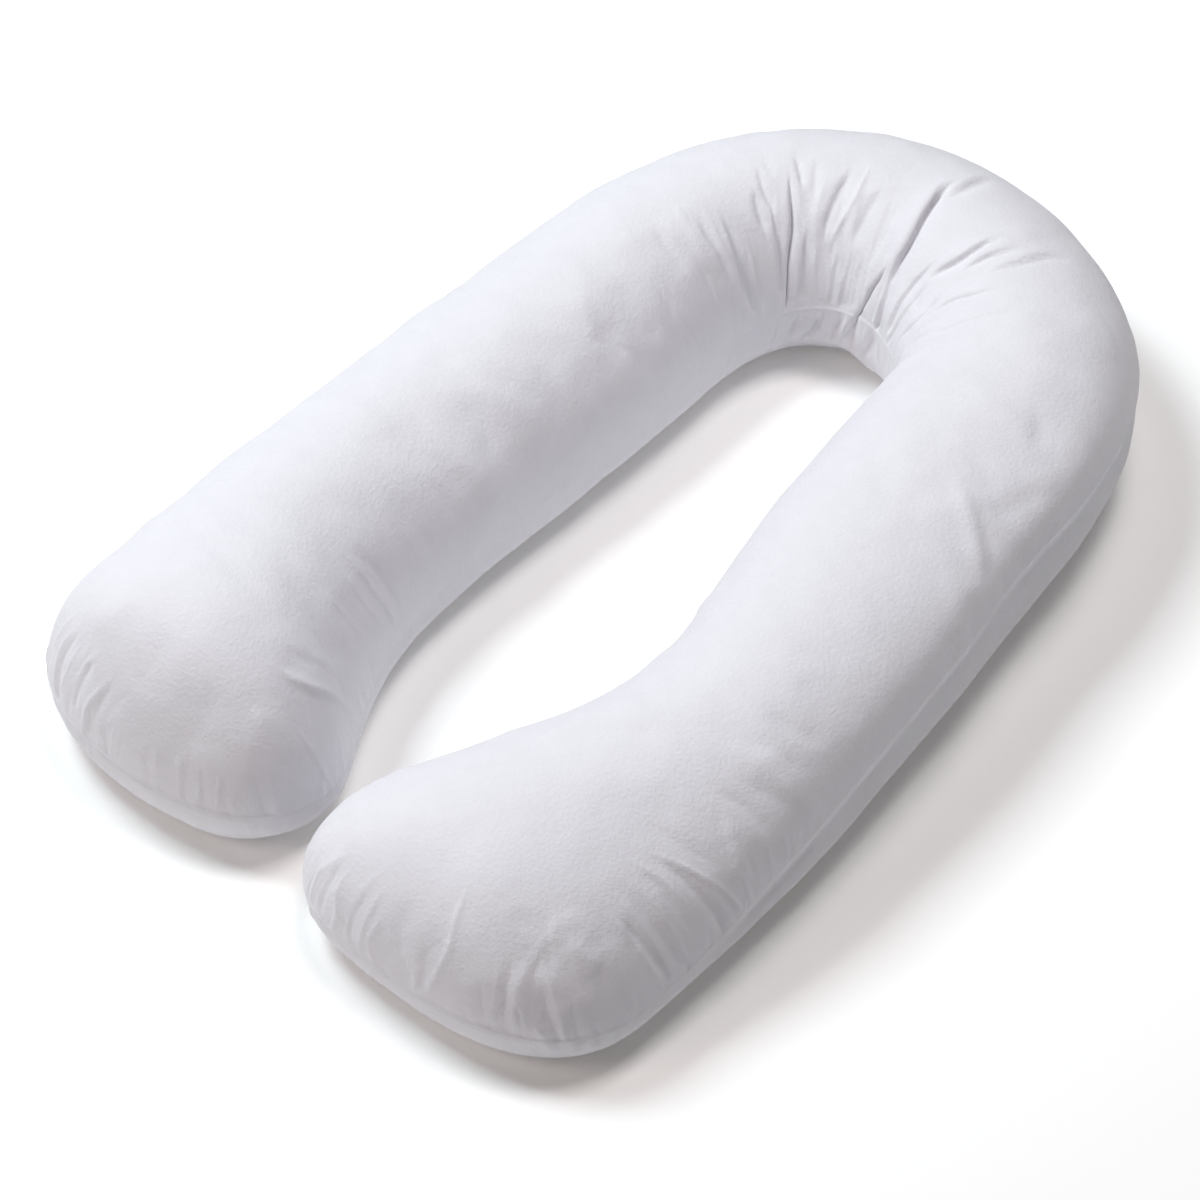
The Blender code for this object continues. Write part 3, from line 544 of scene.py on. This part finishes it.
def refined(faces, places):
    """Splits each face of the fine stretches in four, and lets their neighbours take up the new
    points on their edges."""
    inside = np.zeros(len(places), bool)
    for part in FINE_MESH:
        around = (places[:, 0] >= part.start) & (places[:, 0] <= part.stop)
        inside |= around & (places[:, 1] >= part.low) & (places[:, 1] <= part.high)
    inside = inside.tolist()
    split = [len(face) == 4 and all(inside[i] for i in face) for face in faces]
    added, halfway, centre = [], {}, {}
    for i, face in enumerate(faces):
        if split[i]:
            for edge in zip(face, face[1:] + face[:1]):
                if frozenset(edge) not in halfway:
                    halfway[frozenset(edge)] = len(places) + len(added)
                    added.append(places[list(edge)].mean(axis=0))
            centre[i] = len(places) + len(added)
            added.append(places[face].mean(axis=0))
    finer = []
    for i, face in enumerate(faces):
        halves = [halfway.get(frozenset(edge)) for edge in zip(face, face[1:] + face[:1])]
        if split[i]:
            finer += [[face[k], halves[k], centre[i], halves[k - 1]] for k in range(4)]
        else:
            finer.append([point for pair in zip(face, halves) for point in pair if point is not None])
    return finer, np.vstack([places, *added])


def filled_form():
    """Points and faces of the form, and each point's place as (round, angle)."""
    ribs, around, roots = around_and_roots()
    count = len(around)
    top_share = (np.arange(1, TOP_RINGS + 1) / (TOP_RINGS + 1)) ** TOWARDS_SEAM
    bottom_share = (np.arange(1, BOTTOM_RINGS + 1) / BOTTOM_RINGS) ** TOWARDS_SEAM
    angles = [np.full(count, 90 * share) for share in (0.0, *top_share)]
    angles += [share * contact_angle(around) for share in bottom_share]
    places = [np.column_stack([around, angle]) for angle in angles]
    places += [np.column_stack([ribs, np.full(len(ribs), angle)]) for angle in (90.0, -90.0)]
    ring = [np.arange(count) + i * count for i in range(len(angles))]
    crown = len(angles) * count + roots
    belly = crown + len(ribs)
    top = panel_faces(ring[0], ring[1 : 1 + TOP_RINGS], crown)
    bottom = panel_faces(ring[0], ring[1 + TOP_RINGS :], belly)
    faces, places = refined([face[::-1] for face in top] + bottom, np.concatenate(places))
    return surface(places[:, 0], places[:, 1]), faces, places


# ---------------------------------------------------------------- folds, swells and the seam


def smooth_step(share):
    share = np.clip(share, 0, 1)
    return share * share * (3 - 2 * share)


def fold_line(path):
    """A path of (round, angle) places on the plain form, as closely spaced points."""
    at = np.linspace(0, len(path) - 1, FOLD_SAMPLES)
    places = natural_spline(path, at)
    return surface(places[:, 0], places[:, 1])


def nearest_on(line, points):
    """Each point's offset from the line, and the share of the line's length at its nearest place."""
    gaps = np.full(len(points), np.inf)
    offsets = np.zeros_like(points)
    along = np.zeros((len(points), 3))
    shares = np.zeros(len(points))
    for i, (start, end) in enumerate(zip(line, line[1:])):
        step = end - start
        share = np.clip((points - start) @ step / (step @ step), 0, 1)
        offset = points - start - share[:, None] * step
        gap = np.linalg.norm(offset, axis=1)
        closer = gap < gaps
        gaps[closer], offsets[closer] = gap[closer], offset[closer]
        along[closer], shares[closer] = step, (i + share[closer]) / (len(line) - 1)
    return gaps, offsets, along, shares


def add_fold(fold, points, normals, height, slide):
    """Adds the fold to each point's height along its normal, and to its slide along the cloth."""
    line = fold_line(fold.path)
    reach = FOLD_REACH * max(fold.left, fold.right)
    inside = (points > line.min(axis=0) - reach) & (points < line.max(axis=0) + reach)
    near = np.flatnonzero(inside.all(axis=1))
    gaps, offsets, along, shares = nearest_on(line, points[near])
    right = np.einsum("ij,ij->i", np.cross(along, offsets), normals[near]) < 0
    seam_fade = SEAM_FADE if fold.path[-1][1] < HELD_BELOW else FAR_FADE
    fade = smooth_step(shares / FAR_FADE) * smooth_step((1 - shares) / seam_fade)
    width = np.where(right, fold.right, fold.left) * (NARROWEST + (1 - NARROWEST) * fade)
    across = gaps / width
    trough = -fold.depth * np.exp(-(across**CREASE_POWER))
    lip = np.where(right, fold.right_lip, fold.left_lip) * np.exp(-((across / LIP_SPREAD) ** 2))
    lip *= 1 - np.exp(-(across**2))
    height[near] += (trough + lip) * fade
    if fold.pinch:
        pull = fold.pinch * np.exp(-((across - 1) ** 2)) * fade / np.maximum(gaps, fold.pinch)
        slide[near] -= offsets * pull[:, None]


def gathered_folds():
    """Folds at random places, of random length, slant, width and depth within each stretch."""
    chance = np.random.default_rng(GATHER_SEED)
    folds = []
    for stretch in GATHERS:
        for _ in range(stretch.count):
            at = chance.uniform(stretch.start, stretch.stop)
            low = chance.uniform(stretch.low, stretch.high)
            reach = chance.uniform(SHORTEST, LONGEST) * stretch.reach
            lean = chance.normal(stretch.slant, stretch.spread)
            bow = chance.normal(0, BOW * stretch.spread)
            width = chance.uniform(NARROW, WIDE) * stretch.width
            depth = chance.uniform(SHALLOW, DEEP) * stretch.depth * chance.choice([-1, 1])
            path = (at + lean, low + reach), (at + lean / 2 + bow, low + reach / 2), (at, low)
            folds.append(Fold(path, width, width * chance.uniform(*LOPSIDED), depth))
    return folds


def add_swell(swell, points, height):
    centre = surface(np.array([swell.round]), np.array([float(swell.angle)]))
    height += swell.height * np.exp(-(np.linalg.norm(points - centre, axis=1) / swell.radius) ** 2)


def add_roll(roll, places, height):
    around, angle = places.T
    fade = smooth_step((around - roll.start) / ROLL_FADE)
    fade = fade * smooth_step((roll.stop - around) / ROLL_FADE)
    height += roll.height * fade * np.exp(-(((angle - roll.angle) / roll.spread) ** 2))


def add_lumps(lumps, points, height):
    waves = [noise.noise(Vector(point)) for point in (points * lumps.waves).tolist()]
    height += lumps.height * np.array(waves)


def seam_gap(points, places):
    """How far each point is from the seam, straight up or down its spoke."""
    on_seam = surface(places[:, 0], np.zeros(len(places)))
    return np.linalg.norm(points - on_seam, axis=1)


def dress_surface(points, normals, places):
    """The points with the swells, the folds, the puckers and the seam's ridge worked into them."""
    height = np.zeros(len(points))
    slide = np.zeros_like(points)
    for swell in SWELLS:
        add_swell(swell, points, height)
    for roll in ROLLS:
        add_roll(roll, places, height)
    for lumps in LUMPS:
        add_lumps(lumps, points, height)
    for fold in (*BEND_FOLDS, *LEFT_END_FOLDS, *RIGHT_END_FOLDS, *ARM_FOLDS, *gathered_folds()):
        add_fold(fold, points, normals, height, slide)
    height += SEAM_RIDGE * np.exp(-(seam_gap(points, places) / SEAM_WIDTH) ** 2)
    resting = points[:, 2] < RESTING
    height[resting] = 0
    slide[resting] = 0
    moved = points + normals * height[:, None] + slide
    moved[:, 2] = np.maximum(moved[:, 2], 0)
    return moved


def vertex_normals(points, faces):
    shape = bpy.data.meshes.new("plain_form")
    shape.from_pydata(points.tolist(), [], faces)
    normals = np.empty(3 * len(points), np.float32)
    shape.vertices.foreach_get("normal", normals)
    bpy.data.meshes.remove(shape)
    return normals.reshape(-1, 3).astype(float)


# ---------------------------------------------------------------- materials


def shader_tree(name):
    """A new material, its node tree and its Principled shader."""
    material = bpy.data.materials.new(name)
    material.use_nodes = True
    tree = material.node_tree
    return material, tree, tree.nodes["Principled BSDF"]


def math_node(tree, operation, first, second=None):
    node = tree.nodes.new("ShaderNodeMath")
    node.operation = operation
    for socket, value in zip(node.inputs, (first, second)):
        if value is None:
            continue
        if isinstance(value, (int, float)):
            socket.default_value = value
        else:
            tree.links.new(value, socket)
    return node.outputs[0]


def weave_height(tree):
    """A plain weave: warp and weft threads that pass over each other in turn."""
    place = tree.nodes.new("ShaderNodeUVMap")
    place.uv_map = "cloth"
    split = tree.nodes.new("ShaderNodeSeparateXYZ")
    tree.links.new(place.outputs["UV"], split.inputs[0])
    turns = math.pi / THREAD_GAP
    warp = math_node(tree, "SINE", math_node(tree, "MULTIPLY", split.outputs[0], turns))
    weft = math_node(tree, "SINE", math_node(tree, "MULTIPLY", split.outputs[1], turns))
    return math_node(tree, "MULTIPLY", warp, weft)


def noise_node(tree, grain, coordinates):
    node = tree.nodes.new("ShaderNodeTexNoise")
    node.inputs["Scale"].default_value = grain.scale
    node.inputs["Detail"].default_value = grain.detail
    tree.links.new(coordinates, node.inputs["Vector"])
    return node.outputs["Fac"]


def bump_node(tree, height, distance, strength, normal=None):
    node = tree.nodes.new("ShaderNodeBump")
    node.inputs["Distance"].default_value = distance
    node.inputs["Strength"].default_value = strength
    tree.links.new(height, node.inputs["Height"])
    if normal is not None:
        tree.links.new(normal, node.inputs["Normal"])
    return node.outputs["Normal"]


def cotton():
    """White percale: a fine weave, slightly uneven in colour and surface, with a soft sheen."""
    material, tree, shader = shader_tree("white_cotton")
    place = tree.nodes.new("ShaderNodeTexCoord").outputs["Object"]
    tone = tree.nodes.new("ShaderNodeMixRGB")
    tone.inputs[1].default_value = (*[DARKER * c for c in COTTON_WHITE], 1.0)
    tone.inputs[2].default_value = (*[LIGHTER * c for c in COTTON_WHITE], 1.0)
    tree.links.new(noise_node(tree, TONES, place), tone.inputs[0])
    tree.links.new(tone.outputs[0], shader.inputs["Base Color"])
    shader.inputs["Roughness"].default_value = COTTON_ROUGHNESS
    shader.inputs["Sheen Weight"].default_value = SHEEN
    shader.inputs["Sheen Roughness"].default_value = SHEEN_ROUGHNESS
    slubs = bump_node(tree, noise_node(tree, SLUBS, place), SLUBS.distance, SLUBS.strength)
    ripples = noise_node(tree, RIPPLES, place)
    ripples = bump_node(tree, ripples, RIPPLES.distance, RIPPLES.strength, slubs)
    weave = bump_node(tree, weave_height(tree), WEAVE_DISTANCE, WEAVE_STRENGTH, ripples)
    tree.links.new(weave, shader.inputs["Normal"])
    return material


def floor_white():
    material, _, shader = shader_tree("floor_white")
    shader.inputs["Base Color"].default_value = FLOOR_WHITE
    shader.inputs["Roughness"].default_value = FLOOR_ROUGHNESS
    shader.inputs["Specular IOR Level"].default_value = FLOOR_SPECULAR
    shader.inputs["Emission Color"].default_value = FLOOR_GLOW
    shader.inputs["Emission Strength"].default_value = GLOW_STRENGTH
    return material


# ---------------------------------------------------------------- the object


def cloth_map(points, places):
    """Where each point lay on the flat-cut panel, in metres: from the crown out, along its spoke."""
    root, tip, _, _, _ = spokes(places[:, 0])
    out = (tip - root) / np.linalg.norm(tip - root, axis=1)[:, None]
    steps = np.linspace(0, 1, MAP_STEPS + 1)
    length = np.zeros(len(points))
    middle = np.where(places[:, 1] >= 0, 90.0, -90.0)
    last = surface(places[:, 0], middle)
    for share in steps[1:]:
        here = surface(places[:, 0], middle + share * (places[:, 1] - middle))
        length += np.linalg.norm(here - last, axis=1)
        last = here
    return root + out * length[:, None]


def make_cover():
    points, faces, places = filled_form()
    flat = cloth_map(points, places)
    dressed = dress_surface(points, vertex_normals(points, faces), places)
    shape = bpy.data.meshes.new("pillow_cover")
    shape.from_pydata(dressed.tolist(), [], faces)
    shape.shade_smooth()
    corner = np.empty(len(shape.loops), np.int32)
    shape.loops.foreach_get("vertex_index", corner)
    shape.uv_layers.new(name="cloth").data.foreach_set("uv", flat[corner].astype(np.float32).ravel())
    shape.materials.append(cotton())
    cover = bpy.data.objects.new("pillow_cover", shape)
    bpy.context.scene.collection.objects.link(cover)
    return cover


def make_floor():
    bpy.ops.mesh.primitive_plane_add(size=FLOOR_SIZE)
    floor = bpy.context.object
    floor.name = "floor"
    floor.data.materials.append(floor_white())


# ---------------------------------------------------------------- light and camera


def direction(azimuth, elevation):
    """The unit vector towards a place at these degrees round and above the pillow."""
    side, up = math.radians(azimuth), math.radians(elevation)
    return Vector((math.sin(side) * math.cos(up), -math.cos(side) * math.cos(up), math.sin(up)))


def aimed(thing, target, towards, distance):
    """Places a camera or light at a distance from the target, looking back at it."""
    thing.location = target + towards * distance
    thing.rotation_mode = "QUATERNION"
    thing.rotation_quaternion = (-towards).to_track_quat("-Z", "Y")
    bpy.context.scene.collection.objects.link(thing)


def make_light(name, azimuth, elevation, power, colour):
    light = bpy.data.lights.new(name, "AREA")
    light.shape = "SQUARE"
    light.size = LIGHT_SIZE
    light.energy = power
    light.color = colour
    lamp = bpy.data.objects.new(name, light)
    aimed(lamp, LIGHT_TARGET, direction(azimuth, elevation), LIGHT_DISTANCE)


def make_world(strength):
    world = bpy.data.worlds.new("studio")
    world.use_nodes = True
    shade = world.node_tree.nodes["Background"]
    shade.inputs["Color"].default_value = (1.0, 1.0, 1.0, 1.0)
    shade.inputs["Strength"].default_value = strength
    bpy.context.scene.world = world


def make_camera():
    lens = bpy.data.cameras.new("camera")
    lens.sensor_width = SENSOR
    lens.lens = LENS
    camera = bpy.data.objects.new("camera", lens)
    aimed(camera, CAMERA_TARGET, direction(CAMERA_AZIMUTH, CAMERA_ELEVATION), CAMERA_DISTANCE)
    bpy.context.scene.camera = camera


def dress_scene():
    cover = make_cover()
    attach(cover, "root")
    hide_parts("pillow")
    make_floor()
    make_camera()
    for light in LIGHTS:
        make_light(*light)
    make_world(WORLD_STRENGTH)
    bpy.context.scene.view_settings.view_transform = "Standard"


dress_scene()
